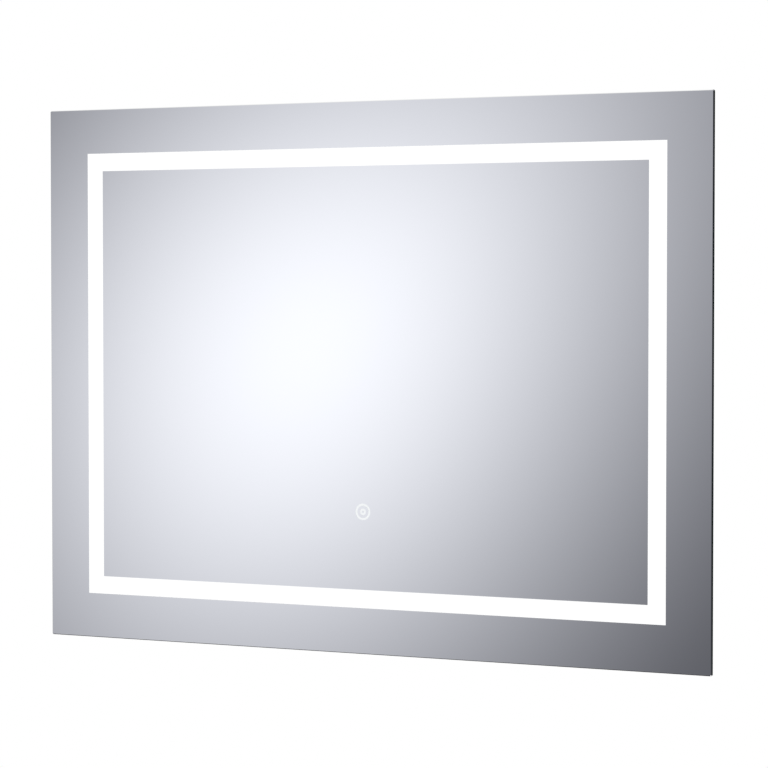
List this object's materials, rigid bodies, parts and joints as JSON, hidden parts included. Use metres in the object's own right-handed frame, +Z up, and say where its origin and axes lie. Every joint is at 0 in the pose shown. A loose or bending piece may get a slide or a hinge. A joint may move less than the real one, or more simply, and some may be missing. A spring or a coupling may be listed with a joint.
{
  "type": "lighted bathroom mirror",
  "caption": "Rectangular frameless wall mirror with a lit frosted band inside its border, a lit touch mark near its foot, and a hanging rail behind it.",
  "frame": {"origin": "middle screw hole of the wall rail, on the wall's face", "axes": "+X along the mirror's long side, +Y from the room into the wall, +Z up"},
  "size_m": [0.8, 0.0401, 0.6],
  "materials": {
    "mirror_glass": "polished",
    "safety_film": "matt",
    "zinc_steel": "zinc plated",
    "link_board": "satin",
    "powder_coat": "matt",
    "black_rubber": "matt",
    "rail_aluminium": "mill finish",
    "frame_aluminium": "satin",
    "rivet_aluminium": "plain",
    "white_plastic": "satin",
    "grey_plastic": "satin",
    "black_plastic": "satin",
    "terminal_plastic": "satin",
    "heater_film": "satin",
    "foam_tape": "matt",
    "circuit_board": "satin",
    "brass": "plain",
    "white_sheath": "satin",
    "earth_sheath": "satin",
    "led_board": "satin",
    "opal_plastic": "satin"
  },
  "bodies": {
    "wall_rail": {"wall_rail": "rail_aluminium"},
    "mirror": {"back_plate": "powder_coat", "bonding_tape_bottom": "foam_tape", "bonding_tape_left": "foam_tape", "bonding_tape_right": "foam_tape", "bonding_tape_top": "foam_tape", "box_gland": "black_plastic", "box_screws": "zinc_steel", "cable_clips": "white_plastic", "cable_grommet": "black_rubber", "cleat_rivets": "rivet_aluminium", "corner_keys": "zinc_steel", "demister_joint": "black_plastic", "demister_lead": "white_sheath", "demister_pad": "heater_film", "diffuser_bottom": "opal_plastic", "diffuser_left": "opal_plastic", "diffuser_right": "opal_plastic", "diffuser_top": "opal_plastic", "driver_base": "white_plastic", "driver_cover": "white_plastic", "earth_eyelet": "brass", "earth_lead": "earth_sheath", "earth_nut": "brass", "earth_stud": "brass", "frame_bottom": "frame_aluminium", "frame_left": "frame_aluminium", "frame_right": "frame_aluminium", "frame_top": "frame_aluminium", "hanging_cleat": "rail_aluminium", "junction_box": "grey_plastic", "junction_lid": "grey_plastic", "led_lead": "white_sheath", "led_strip_bottom": "led_board", "led_strip_left": "led_board", "led_strip_right": "led_board", "led_strip_top": "led_board", "lid_screws": "zinc_steel", "mains_lead": "white_sheath", "mirror_glass": "mirror_glass", "plate_screws": "zinc_steel", "safety_film": "safety_film", "sensor_board": "circuit_board", "sensor_cover": "white_plastic", "sensor_lead": "white_sheath", "sensor_pad": "foam_tape", "strip_links": "link_board", "terminal_block": "terminal_plastic", "wall_bumpers": "black_rubber"}
  },
  "joints": [
    {"name": "lift_off", "type": "slide", "parent": "wall_rail", "child": "mirror", "axis": [0, 0, 1], "range_m": [0, 0.012]}
  ]
}
